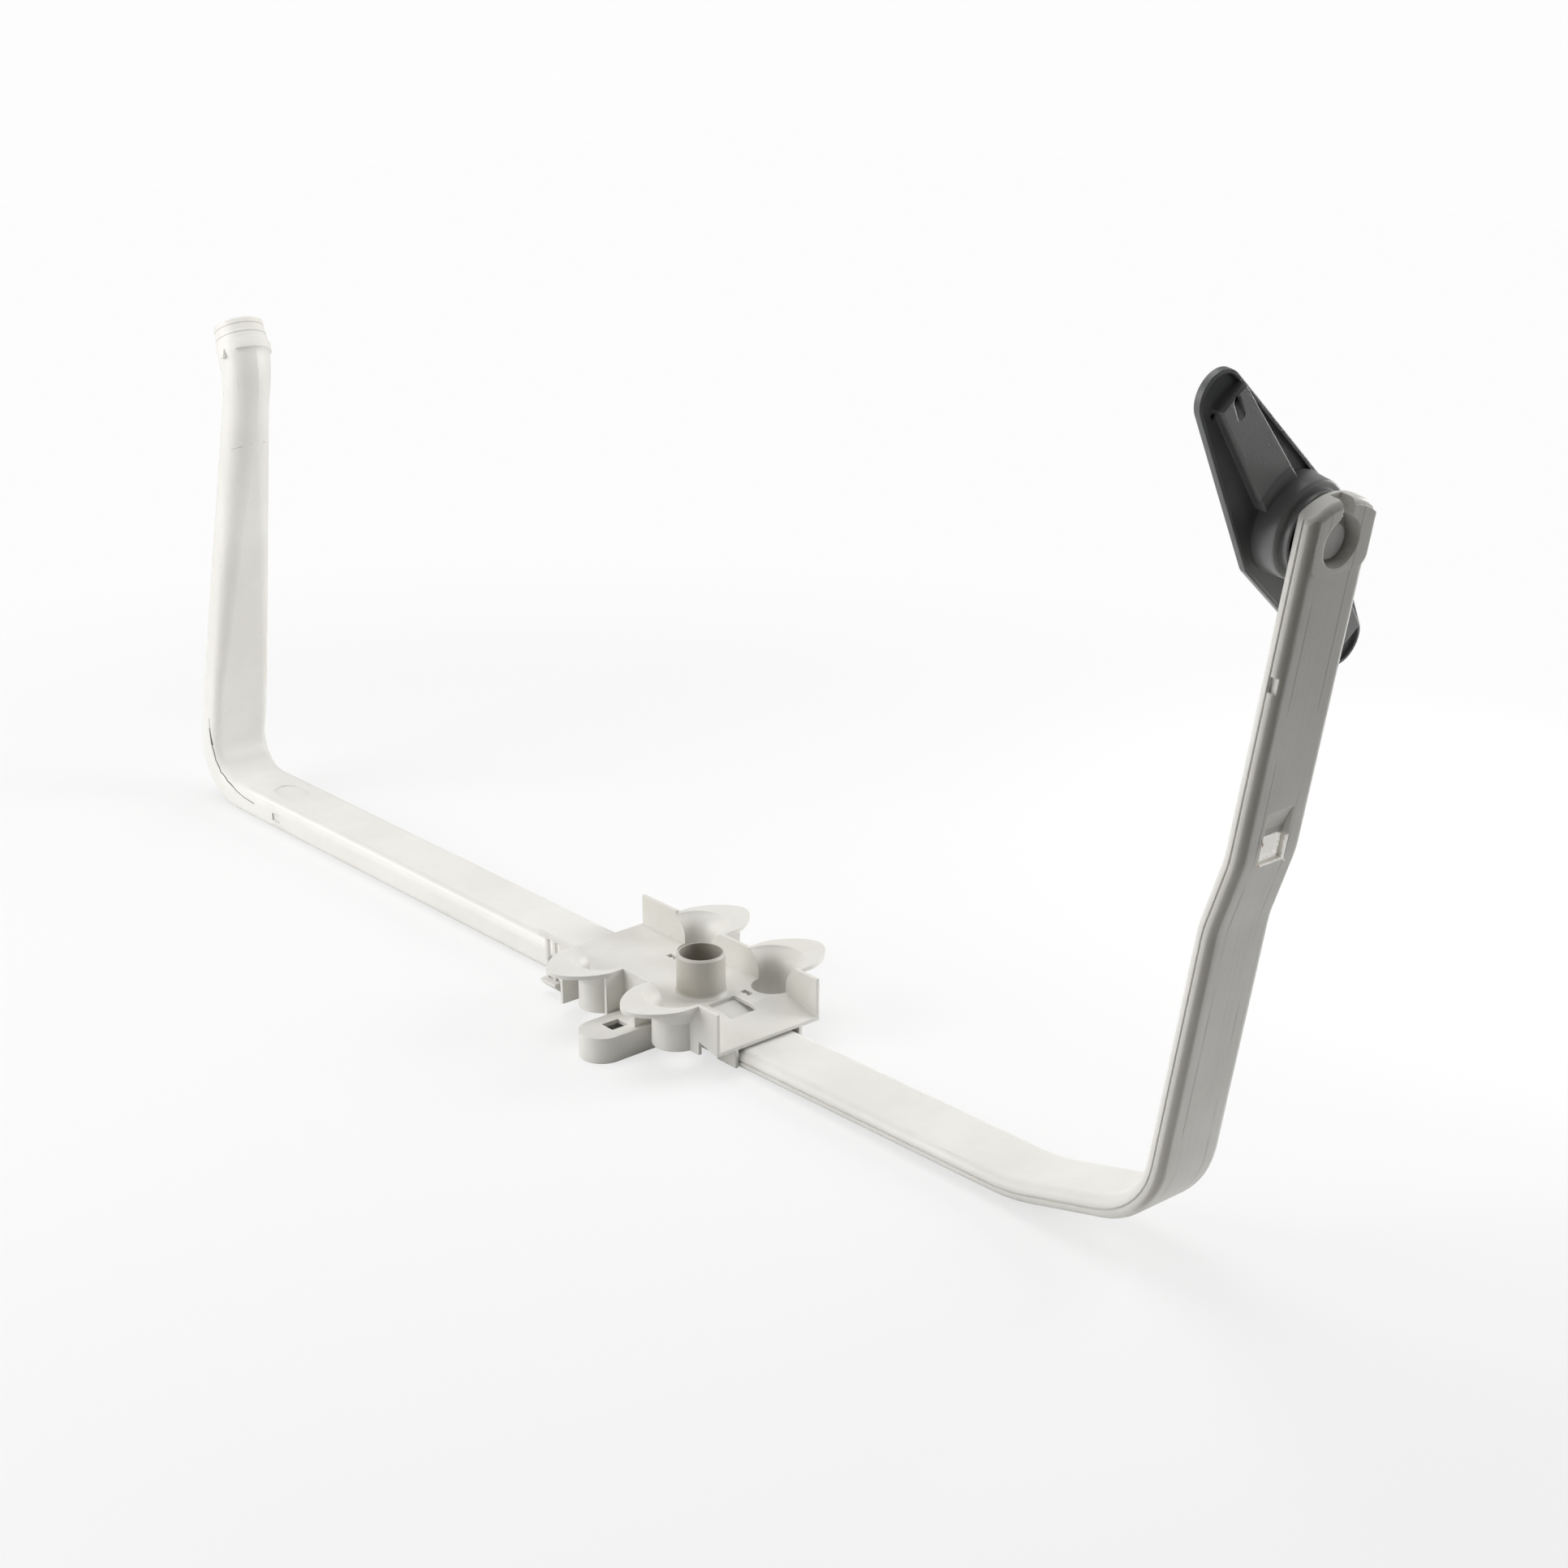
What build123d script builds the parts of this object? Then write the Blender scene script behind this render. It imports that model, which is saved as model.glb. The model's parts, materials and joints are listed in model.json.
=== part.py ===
"""Dishwasher feed tube: blow-moulded tube, docking bracket and top spray arm, in millimetres.

The origin is the centre of the docking spigot's foot, on the tray floor. +X runs along the tube
to the spray-arm end, +Y to the far side of the tray and +Z up the spigot.
"""
import math
import os

from build123d import *

os.makedirs("parts", exist_ok=True)

# Tube: flat rounded section, thick on the inlet side and thin on the spray-arm side
tube_width = 30.0
tube_wall = 1.8
left_thick = 14.0
left_corner = 4.5
right_thick = 8.0
right_corner = 3.7
seam_width = 0.7
seam_depth = 0.5

# Tube route, measured in the XZ plane
step_start_x = 13.0
step_end_x = 34.0
step_drop = 2.6
left_bend_x = -357.7
left_bend_radius = 21.0
left_lean = 11.0
right_rise = 0.94
kink_x = 184.0
kink_angle = 14.4
kink_radius = 70.0
right_bend_x = 245.8
right_bend_radius = 32.0
right_lean = 10.0
jog_start = 111.0
jog_length = 26.5
jog_turn = 9.4
jog_radius = 40.0
end_length = 107.0
end_reach = 12.6
end_round = 23.0
end_edge = 2.0

# Inlet arm: flat section turning round, then an elbow and the neck
arm_flat_end = 51.0
arm_waist = 136.0
arm_straight = 148.0
waist_dia = 20.9
elbow_radius = 28.0
elbow_angle = 43.0
elbow_twist = 12.0
neck_dia = 23.7
neck_ring_dia = 22.9
neck_ring_length = 3.8
inlet_dia = 22.2
inlet_length = 5.6
collar_dia = 24.7
collar_height = 3.8
collar_drop = 1.2
collar_start = -45.0
collar_end = 100.0
tooth_length = 4.6
tooth_height = 1.3
tooth_width = 1.8
tooth_drop = 2.4
tooth_sink = 0.2
neck_overlap = 0.2
tooth_angle = -78.0

# Marks on the tube
oval_x = -302.0
oval_length = 21.0
oval_width = 14.0
oval_depth = 0.7
side_mark_x = -293.4
side_mark_length = 6.5
side_mark_height = 3.6
side_mark_depth = 0.8
arm_notch_below_end = 45.5
arm_notch_length = 5.2
arm_notch_depth = 1.4
arm_notch_width = 2.7
recess_width = 12.0
recess_length = 18.5
recess_depth = 2.4
recess_ramp = 8.0
cut_width = 10.0
cut_length = 10.5
cut_inset = 0.3
recess_below_hub = 97.6

# Tube end: keyhole pocket on the outer face, water outlet on the inner face
hub_drop = 1.8
hub_side = -0.6
pad_width = 25.0
pad_height = 0.5
pad_below_end = 10.6
pad_corner = 4.0
pocket_dia = 16.4
pocket_rise = 0.9
pocket_depth = 5.2
slot_width = 5.2
keyhole_round = 2.0
outlet_width = 9.0
outlet_height = 3.4
end_wall = 0.8

# Docking bracket
tray_thick = 1.5
tray_left_x = -68.0
tray_right_x = 41.0
tray_half_width = 24.5
tray_wall = 1.4
wall_height = 11.5
upstand_height = 12.8
near_upstand_height = 9.9
ramp_start_x = 22.0
ramp_drop = 4.6
spigot_dia = 19.5
spigot_bore = 17.2
spigot_height = 16.8
spigot_foot_dia = 22.4
spigot_foot_height = 1.6
spigot_stub = 4.5
spigot_fit = 0.05
spigot_chamfer = 0.8
pocket_left_x = -31.8
pocket_right_x = 14.6
pocket_y = 24.2
pocket_bore = 16.4
funnel_dia = 27.6
funnel_drop = 9.0
barrel_wall = 1.7
barrel_bottom = 9.0
petal_half_width = 15.2
petal_tip = 25.4
petal_side = 7.0
petal_thick = 1.6
gusset_reach = 10.0
gusset_thick = 1.5
gusset_bottom = 11.2
skirt_gap = 0.5
skirt_thick = 1.4
skirt_bottom = 13.4
skirt_length = 11.0
window_start_x = 12.0
window_length = 14.0
window_width = 13.5
window_corner = 0.8
tray_slot_length = 5.0
tray_slot_width = 2.6
tray_slot_y = 12.4
tray_slot_shift = 1.5
rail_reach = 4.6
rail_height = 1.9
post_first = 0.3
post_first_width = 1.5
post_second = 4.9
post_second_width = 1.9
post_gap_end = 9.4
lug_x = -6.3
lug_y = -44.6
lug_dia = 18.6
lug_height = 10.5
lug_hole_x = 6.7
lug_hole_y = 7.8
lug_hole_inset = 6.3
lug_wall = 1.8
clip_width = 9.8
clip_reach = 2.8
clip_lip = 1.2
clip_drop = 9.0
clip_hook = 4.0
tube_gap = 0.25

# Spray arm: lozenge plate with an upturned rim, raised water channel and bell hub
spray_turn = 41.9
wing_long = 70.7
wing_far = 71.7
wing_side = -1.9
wing_tip_radius = 8.7
wing_half_width = 18.6
wing_corner = 7.0
rim_offset = 11.7
rim_height = 1.0
rim_thick = 1.2
plate_thick = 1.3
channel_half_width = 8.4
channel_tip_half = 5.9
channel_end = 61.0
channel_height = 3.6
channel_side = 0.5
shell_wall = 1.6
bell_dia = 32.8
bell_top_dia = 31.8
bell_shoulder = 3.2
bell_round = 1.2
bell_collar_dia = 26.8
bell_collar_wall = 1.2
bell_gap = 0.6
base_depth = 4.5
base_inset = 2.5
base_channel_inset = 3.0
base_plate = 1.6
base_floor = 1.6
jet_dia = 3.0
jet_first = 24.0
jet_pitch = 14.0
nozzle_length = 8.4
nozzle_width = 3.0
nozzle_start = 51.8
nozzle_side = -0.3
nozzle_turn = 10.0
nozzle_slope = 15.0
vent_dia = 2.0
vent_place = 58.6
vent_side = -6.2
channel_taper_angle = 10.0

# Axle the spray arm turns on
axle_dia = 8.0
axle_fit = 0.05
axle_head_dia = 11.2
axle_head_sink = 3.0
axle_cap_dia = 15.0
axle_cap_thick = 2.4
axle_cap_round = 0.8
axle_play = 0.4
hub_boss_dia = 12.0
boss_gap = 0.5


def lean_direction(lean):
    """Unit vector in the XZ plane, leaning from +Z towards +X."""
    return Vector(math.sin(math.radians(lean)), 0, math.cos(math.radians(lean)))


# Heights that follow from the sections
ground = -tray_thick - left_thick
left_mid = -tray_thick - left_thick / 2
left_arm = lean_direction(left_lean)
right_arm = lean_direction(right_lean)
right_face = Vector(right_arm.Z, 0, -right_arm.X)

# Points of the tube's centre line
step_start = Vector(step_start_x, 0, left_mid)
left_corner_point = Vector(left_bend_x, 0, left_mid)
left_flat_end = left_corner_point + left_arm * arm_flat_end
run_start = Vector(step_end_x, 0, left_mid - step_drop)
kink = run_start + Vector(1, 0, math.tan(math.radians(right_rise))) * (kink_x - step_end_x)
kink_slope = math.tan(math.radians(kink_angle))
right_corner_point = kink + Vector(1, 0, kink_slope) * (right_bend_x - kink_x)
jog_low = right_corner_point + right_arm * jog_start
jog_high = jog_low + lean_direction(right_lean + jog_turn) * jog_length
end_centre = jog_high + right_arm * end_length
hub = end_centre - right_arm * hub_drop + Vector(0, hub_side, 0)

left_route = [(p.X, p.Z) for p in (step_start, left_corner_point, left_flat_end)]
right_points = (run_start, kink, right_corner_point, jog_low, jog_high)
end_tip = end_centre + right_arm * end_reach
right_route = [(p.X, p.Z) for p in right_points + (end_tip,)]
right_radii = [kink_radius, right_bend_radius, jog_radius, jog_radius]
hollow_end = end_centre - right_arm * (hub_drop - pocket_rise + pocket_dia / 2 + end_wall)
hollow_route = [(p.X, p.Z) for p in right_points + (hollow_end,)]

# Section planes: local x across the tube (world Y), local z along the tube
left_start_plane = Plane(origin=step_start, x_dir=(0, 1, 0), z_dir=(-1, 0, 0))
rise_direction = (kink - run_start).normalized()
run_start_plane = Plane(origin=run_start, x_dir=(0, 1, 0), z_dir=rise_direction)
step_plane = Plane(origin=step_start, x_dir=(0, 1, 0), z_dir=(1, 0, 0))
end_plane = Plane(origin=end_centre, x_dir=right_arm, z_dir=right_face)

# Inlet arm and elbow: the arm is straight, the elbow turns away from the tray
arm_axis_x = Vector(0, 1, 0)
bend_in_plane = Vector(-left_arm.Z, 0, left_arm.X)
twist = math.radians(elbow_twist)
bend_direction = bend_in_plane * math.cos(twist) + Vector(0, 1, 0) * math.sin(twist)
elbow_start = left_corner_point + left_arm * (arm_flat_end + arm_straight)


def elbow_plane(angle):
    """Section plane after turning the given angle through the elbow."""
    turn = math.radians(angle)
    along = left_arm * math.sin(turn) + bend_direction * (1 - math.cos(turn))
    normal = left_arm * math.cos(turn) + bend_direction * math.sin(turn)
    across = (arm_axis_x - normal * arm_axis_x.dot(normal)).normalized()
    return Plane(origin=elbow_start + along * elbow_radius, x_dir=across, z_dir=normal)


def arm_plane(distance):
    """Section plane on the straight of the inlet arm, measured from the flat part's end."""
    return Plane(origin=left_flat_end + left_arm * distance, x_dir=arm_axis_x, z_dir=left_arm)


neck_plane = elbow_plane(elbow_angle)
elbow_sections = [
    (arm_plane(arm_waist), waist_dia),
    (elbow_plane(0), waist_dia),
    (elbow_plane(elbow_angle / 3), waist_dia + (neck_dia - waist_dia) * 0.3),
    (elbow_plane(elbow_angle * 2 / 3), waist_dia + (neck_dia - waist_dia) * 0.7),
    (neck_plane, neck_dia),
]

# Planes on the arm's end: local x up the arm, local z out of the face
outer_point = hub + right_face * (right_thick / 2)
inner_point = hub - right_face * (right_thick / 2)
outer_face_plane = Plane(origin=outer_point, x_dir=right_arm, z_dir=right_face)
inner_face_plane = Plane(origin=inner_point, x_dir=right_arm, z_dir=-right_face)
end_point = end_centre + right_face * (right_thick / 2)
end_face_plane = Plane(origin=end_point, x_dir=right_arm, z_dir=right_face)
recess_point = end_point - right_arm * (hub_drop + recess_below_hub)
recess_plane = Plane(origin=recess_point, x_dir=right_arm, z_dir=right_face)
recess_side_plane = Plane(origin=recess_point, x_dir=right_arm, z_dir=(0, 1, 0))
recess_outline = [
    (recess_length / 2, 0),
    (recess_length / 2 - recess_ramp, -recess_depth),
    (-recess_length / 2, -recess_depth),
    (-recess_length / 2, right_thick),
    (recess_length / 2, right_thick),
]
notch_point = end_centre - right_arm * arm_notch_below_end - Vector(0, tube_width / 2, 0)
notch_plane = Plane(origin=notch_point, x_dir=right_arm, z_dir=(0, -1, 0))

# Outlines on the neck, by angle round it from the tray side towards +Y
collar_angles = [math.radians(collar_start + (collar_end - collar_start) * i / 3) for i in range(4)]
wedge_reach = 3 * neck_dia
collar_wedge = [(0, 0)] + [(wedge_reach * math.sin(a), -wedge_reach * math.cos(a)) for a in collar_angles]
tooth_turn = math.radians(tooth_angle)
tooth_out = neck_plane.x_dir * math.sin(tooth_turn) - neck_plane.y_dir * math.cos(tooth_turn)
tooth_plane = Plane(origin=neck_plane.origin, x_dir=tooth_out, z_dir=tooth_out.cross(neck_plane.z_dir))
tooth_root = neck_dia / 2 - tube_wall / 2
tooth_outline = [
    (tooth_root, -tooth_drop),
    (neck_dia / 2 - tooth_sink, -tooth_drop),
    (neck_dia / 2 + tooth_height, -tooth_drop - tooth_length),
    (tooth_root, -tooth_drop - tooth_length),
]

# Feed tube, outside
with BuildPart() as tube_outside:
    with BuildLine(Plane.XZ) as left_path:
        FilletPolyline(*left_route, radius=left_bend_radius)
    with BuildSketch(left_start_plane):
        RectangleRounded(tube_width, left_thick, left_corner)
    sweep(path=left_path.line)
    with BuildLine(Plane.XZ) as right_path:
        FilletPolyline(*right_route, radius=right_radii)
    with BuildSketch(run_start_plane):
        RectangleRounded(tube_width, right_thick, right_corner)
    sweep(path=right_path.line)
    # Step under the bracket from the thick section to the thin one
    with BuildSketch(step_plane):
        RectangleRounded(tube_width, left_thick, left_corner)
    with BuildSketch(run_start_plane):
        RectangleRounded(tube_width, right_thick, right_corner)
    loft()
    # Shallow arc across the end, with a small round on its edges
    with BuildSketch(end_plane):
        with Locations((end_reach, 0)):
            Rectangle(tube_width, 2 * tube_width)
        with Locations((end_reach - end_round, 0)):
            Circle(end_round, mode=Mode.SUBTRACT)
    extrude(amount=right_thick, both=True, mode=Mode.SUBTRACT)
    fillet(tube_outside.faces().sort_by_distance(end_tip)[0].edges(), end_edge)
    # Inlet arm, flat below and round at the waist, then the elbow
    with BuildSketch(arm_plane(0)):
        RectangleRounded(tube_width, left_thick, left_corner)
    with BuildSketch(arm_plane(arm_waist)):
        RectangleRounded(waist_dia, waist_dia, waist_dia * 0.495)
    loft(ruled=True)
    for plane, dia in elbow_sections:
        with BuildSketch(plane):
            RectangleRounded(dia, dia, dia * 0.495)
    loft()

# Feed tube, hollow space: the same route with every section smaller by the wall
inset = 2 * tube_wall
with BuildPart() as tube_hollow:
    with BuildLine(Plane.XZ) as left_core:
        FilletPolyline(*left_route, radius=left_bend_radius)
    with BuildSketch(left_start_plane):
        RectangleRounded(tube_width - inset, left_thick - inset, left_corner - tube_wall)
    sweep(path=left_core.line)
    with BuildLine(Plane.XZ) as right_core:
        FilletPolyline(*hollow_route, radius=right_radii)
    with BuildSketch(run_start_plane):
        RectangleRounded(tube_width - inset, right_thick - inset, right_corner - tube_wall)
    sweep(path=right_core.line)
    with BuildSketch(step_plane):
        RectangleRounded(tube_width - inset, left_thick - inset, left_corner - tube_wall)
    with BuildSketch(run_start_plane):
        RectangleRounded(tube_width - inset, right_thick - inset, right_corner - tube_wall)
    loft()
    with BuildSketch(arm_plane(0)):
        RectangleRounded(tube_width - inset, left_thick - inset, left_corner - tube_wall)
    with BuildSketch(arm_plane(arm_waist)):
        RectangleRounded(waist_dia - inset, waist_dia - inset, (waist_dia - inset) * 0.495)
    loft(ruled=True)
    for plane, dia in elbow_sections:
        with BuildSketch(plane):
            RectangleRounded(dia - inset, dia - inset, (dia - inset) * 0.495)
    loft()
    with BuildSketch(neck_plane.offset(-neck_overlap)):
        Circle(inlet_dia / 2 - tube_wall)
    extrude(amount=neck_ring_length + 2 * inlet_length)
    # The recess in the outer face keeps its own floor
    with BuildSketch(recess_plane.offset(-recess_depth - tube_wall)):
        Rectangle(recess_length + inset, recess_width + inset)
    extrude(amount=recess_depth + tube_wall + right_thick, mode=Mode.SUBTRACT)

# Feed tube
with BuildPart() as feed_tube:
    add(tube_outside.part)
    # Neck: two small steps down to the inlet, a stop collar part of the way round and a snap tooth
    with BuildSketch(neck_plane):
        Circle(neck_ring_dia / 2)
    extrude(amount=neck_ring_length)
    with BuildSketch(neck_plane.offset(neck_ring_length)):
        Circle(inlet_dia / 2)
    extrude(amount=inlet_length)
    with BuildSketch(neck_plane.offset(-collar_drop - collar_height)):
        Circle(collar_dia / 2)
        with BuildLine():
            Polyline(*collar_wedge, close=True)
        make_face(mode=Mode.INTERSECT)
    extrude(amount=collar_height)
    with BuildSketch(tooth_plane):
        with BuildLine():
            Polyline(*tooth_outline, close=True)
        make_face()
    extrude(amount=tooth_width / 2, both=True)
    # Raised pad round the keyhole
    with BuildSketch(end_face_plane.offset(-tube_wall / 2)) as pad:
        with Locations((-pad_below_end, hub_side)):
            Rectangle(pad_below_end + end_reach, pad_width, align=(Align.MIN, Align.CENTER))
        fillet(pad.vertices().group_by(Axis.X)[0], pad_corner)
        with Locations((end_reach - end_round - end_edge, 0)):
            Circle(end_round, mode=Mode.INTERSECT)
    extrude(amount=pad_height + tube_wall / 2)
    add(tube_hollow.part, mode=Mode.SUBTRACT)
    # Hole for the docking spigot
    with BuildSketch(Plane.XY.offset(-tray_thick)):
        Circle(spigot_dia / 2 + spigot_fit)
    extrude(amount=-left_thick / 2, mode=Mode.SUBTRACT)
    # Parting seam along both narrow sides, open from the bracket to the arm's end
    with BuildSketch(run_start_plane):
        with GridLocations(tube_width, 0, 2, 1):
            Rectangle(2 * seam_depth, seam_width)
    sweep(path=right_path.line, mode=Mode.SUBTRACT)
    # Oval sink on the run and the small mark on its near side
    with BuildSketch(Plane.XY.offset(-tray_thick)):
        with Locations((oval_x, 0)):
            Ellipse(oval_length / 2, oval_width / 2)
    extrude(amount=-oval_depth, mode=Mode.SUBTRACT)
    with BuildSketch(Plane.XZ.offset(tube_width / 2)):
        with Locations((side_mark_x, left_mid)):
            Rectangle(side_mark_length, side_mark_height)
    extrude(amount=-side_mark_depth, mode=Mode.SUBTRACT)
    # Recess with a ramped upper end, and the opening cut through its floor
    with BuildSketch(recess_side_plane):
        with BuildLine():
            Polyline(*recess_outline, close=True)
        make_face()
    extrude(amount=recess_width / 2, both=True, mode=Mode.SUBTRACT)
    with BuildSketch(recess_plane.offset(-recess_depth)):
        with Locations((-recess_length / 2 + cut_length / 2 + cut_inset, 0)):
            Rectangle(cut_length, cut_width)
    extrude(amount=-2 * tube_wall, mode=Mode.SUBTRACT)
    # Notch beside the seam of the arm
    with BuildSketch(notch_plane):
        Rectangle(arm_notch_length, arm_notch_width, align=(Align.CENTER, Align.MAX))
    extrude(amount=-arm_notch_depth, mode=Mode.SUBTRACT)
    # Keyhole pocket, its slot to the end, and the axle hole
    with BuildSketch(outer_face_plane.offset(pad_height)) as keyhole:
        with Locations((pocket_rise, 0)):
            Circle(pocket_dia / 2)
            Rectangle(tube_width, slot_width, align=(Align.MIN, Align.CENTER))
        fillet(keyhole.vertices().group_by(Axis.X)[0], keyhole_round)
    extrude(amount=-pocket_depth - pad_height, mode=Mode.SUBTRACT)
    with BuildSketch(inner_face_plane):
        Circle(axle_dia / 2 + axle_fit)
    extrude(amount=-right_thick, mode=Mode.SUBTRACT)
    # Water outlet into the spray arm's bell
    with BuildSketch(inner_face_plane):
        with Locations((-(pocket_dia + outlet_height) / 2 - end_wall, 0)):
            SlotOverall(outlet_width, outlet_height, rotation=90)
    extrude(amount=-right_thick / 2, mode=Mode.SUBTRACT)
feed_tube.part.label = "feed_tube"
export_step(feed_tube.part, "parts/feed_tube.step")

# Docking bracket
tray_outer = tray_half_width + tray_wall
floor_profile = [
    (tray_left_x, 0),
    (ramp_start_x, 0),
    (tray_right_x, -ramp_drop),
    (tray_right_x, -ramp_drop - tray_thick),
    (ramp_start_x, -tray_thick),
    (tray_left_x, -tray_thick),
]
upstand_end = pocket_left_x - pocket_bore / 2


def wall_profile(left_height):
    """Outline of a side wall, with the height of its left upstand."""
    return [
        (tray_left_x, -tray_thick),
        (tray_left_x, left_height),
        (upstand_end, left_height),
        (upstand_end, wall_height),
        (tray_right_x, wall_height),
        (tray_right_x, -ramp_drop - tray_thick),
        (ramp_start_x, -tray_thick),
    ]


pocket_places = [(x, y) for x in (pocket_left_x, pocket_right_x) for y in (-pocket_y, pocket_y)]
barrel_radius = pocket_bore / 2 + barrel_wall
funnel_radius = funnel_dia / 2
petal_bottom = wall_height - petal_thick
funnel_foot = wall_height - funnel_drop
gusset_x = petal_half_width - gusset_thick / 2
gusset_height = petal_bottom + gusset_bottom
web_height = barrel_bottom
ramp_slope = ramp_drop / (tray_right_x - ramp_start_x)
skirt_start_x = tray_right_x - skirt_length
skirt_profile = [
    (skirt_start_x, -skirt_bottom),
    (tray_right_x, -skirt_bottom),
    (tray_right_x, -ramp_drop - tray_thick / 2),
    (skirt_start_x, -(skirt_start_x - ramp_start_x) * ramp_slope - tray_thick / 2),
]
skirt_inner = tube_width / 2 + skirt_gap
clip_outline = [
    (-tray_half_width, -clip_drop),
    (-tray_outer - clip_reach, -clip_drop),
    (-tray_outer - clip_reach, -clip_drop - clip_lip),
    (-tray_outer, -clip_drop - clip_hook),
    (-tray_half_width, -clip_drop - clip_hook),
]
posts = [(post_first, post_first_width), (post_second, post_second_width)]
rail_bottom = near_upstand_height - rail_height
post_gap_first = post_first + post_first_width
post_gap_second = post_second + post_second_width

# Space inside a flared pocket mouth, standing at the origin
with BuildPart() as funnel_space:
    with BuildSketch(Plane.XZ):
        with BuildLine():
            Line((0, funnel_foot), (pocket_bore / 2, funnel_foot))
            flare = Bezier(
                (pocket_bore / 2, funnel_foot),
                (pocket_bore / 2, wall_height - funnel_drop * 0.35),
                (funnel_radius - funnel_drop * 0.12, wall_height - funnel_drop * 0.2),
                (funnel_radius, wall_height),
            )
            Line(flare @ 1, (funnel_radius, 2 * wall_height))
            Line((funnel_radius, 2 * wall_height), (0, 2 * wall_height))
            Line((0, 2 * wall_height), (0, funnel_foot))
        make_face()
    revolve(axis=Axis.Z)

with BuildPart() as docking_bracket:
    with BuildSketch(Plane.XZ):
        with BuildLine():
            Polyline(*floor_profile, close=True)
        make_face()
    extrude(amount=tray_outer, both=True)
    # Side walls, the near one first
    with BuildSketch(Plane.XZ.offset(tray_half_width)):
        with BuildLine():
            Polyline(*wall_profile(near_upstand_height), close=True)
        make_face()
    extrude(amount=tray_wall)
    with BuildSketch(Plane.XZ.offset(-tray_half_width)):
        with BuildLine():
            Polyline(*wall_profile(upstand_height), close=True)
        make_face()
    extrude(amount=-tray_wall)
    # Pockets: barrel, funnel and petal, with gussets and a web under each petal
    with BuildSketch(Plane.XY.offset(-barrel_bottom)):
        with Locations(*pocket_places):
            Circle(barrel_radius)
    extrude(amount=barrel_bottom + petal_bottom)
    with Locations(*[(x, y, funnel_foot) for x, y in pocket_places]):
        Cone(barrel_radius, funnel_radius + petal_thick, funnel_drop,
             align=(Align.CENTER, Align.CENTER, Align.MIN))
    for x, y in pocket_places:
        side = math.copysign(1, y)
        with BuildSketch(Plane.XY.offset(petal_bottom)):
            with BuildLine():
                left_edge = Line((x - petal_half_width, y), (x - petal_half_width, y + side * petal_side))
                tip = (x, y + side * petal_tip)
                left_curve = Bezier(
                    left_edge @ 1,
                    (x - petal_half_width, y + side * petal_side * 2),
                    (x - petal_half_width * 0.46, y + side * petal_tip),
                    tip,
                )
                right_curve = Bezier(
                    tip,
                    (x + petal_half_width * 0.46, y + side * petal_tip),
                    (x + petal_half_width, y + side * petal_side * 2),
                    (x + petal_half_width, y + side * petal_side),
                )
                right_edge = Line(right_curve @ 1, (x + petal_half_width, y))
                Line(right_edge @ 1, left_edge @ 0)
            make_face()
        extrude(amount=petal_thick)
        with BuildSketch(Plane.XY.offset(-gusset_bottom)):
            with Locations((x - gusset_x, y)):
                Rectangle(gusset_thick, 2 * gusset_reach)
            if x == pocket_left_x:
                with Locations((x + gusset_x, y)):
                    Rectangle(gusset_thick, 2 * gusset_reach)
            with Locations((x, y - side * tube_width)):
                Rectangle(4 * petal_half_width, 2 * tube_width + 2 * (tray_half_width - pocket_y),
                          mode=Mode.SUBTRACT)
        extrude(amount=gusset_height)
        with BuildSketch(Plane.XY.offset(-web_height)):
            with Locations((x, side * (tray_half_width + tray_wall / 2))):
                Rectangle(2 * petal_half_width, tray_wall)
        extrude(amount=web_height)
    # Web down to the lug, between the near pockets
    with BuildSketch(Plane.XZ.offset(tray_half_width)):
        with BuildLine():
            Polyline(
                (pocket_left_x + gusset_x, 0),
                (pocket_right_x - gusset_x, 0),
                (pocket_right_x - gusset_x, ground),
                (pocket_left_x + gusset_x, ground),
                close=True,
            )
        make_face()
    extrude(amount=tray_wall)
    # Clear the tray and the funnels
    with BuildSketch(Plane.XY):
        with Locations((tray_left_x, 0)):
            Rectangle(ramp_start_x - tray_left_x, 2 * tray_half_width, align=(Align.MIN, Align.CENTER))
    extrude(amount=4 * wall_height, mode=Mode.SUBTRACT)
    with BuildSketch(Plane.XZ):
        with BuildLine():
            Polyline(
                (ramp_start_x, 0),
                (tray_right_x, -ramp_drop),
                (tray_right_x, 4 * wall_height),
                (ramp_start_x, 4 * wall_height),
                close=True,
            )
        make_face()
    extrude(amount=tray_half_width, both=True, mode=Mode.SUBTRACT)
    with Locations(*[(x, y, -barrel_bottom) for x, y in pocket_places]):
        Cylinder(pocket_bore / 2, barrel_bottom + wall_height,
                 align=(Align.CENTER, Align.CENTER, Align.MIN), mode=Mode.SUBTRACT)
    with Locations(*pocket_places):
        add(funnel_space.part, mode=Mode.SUBTRACT)
    # Room for the tube below the tray
    with BuildSketch(Plane.XY.offset(ground)):
        with Locations((tray_left_x, 0)):
            Rectangle(ramp_start_x - tray_left_x, tube_width + 2 * tube_gap,
                      align=(Align.MIN, Align.CENTER))
    extrude(amount=left_thick, mode=Mode.SUBTRACT)
    # Skirts that clasp the tube at both ends
    for side in (1, -1):
        with BuildSketch(Plane.XZ.offset(side * skirt_inner)):
            with BuildLine():
                Polyline(*skirt_profile, close=True)
            make_face()
        extrude(amount=side * skirt_thick)
        with BuildSketch(Plane.XZ.offset(side * skirt_inner)):
            with Locations((tray_left_x + skirt_length / 2, -(skirt_bottom + tray_thick) / 2)):
                Rectangle(skirt_length, skirt_bottom)
        extrude(amount=side * skirt_thick)
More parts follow.
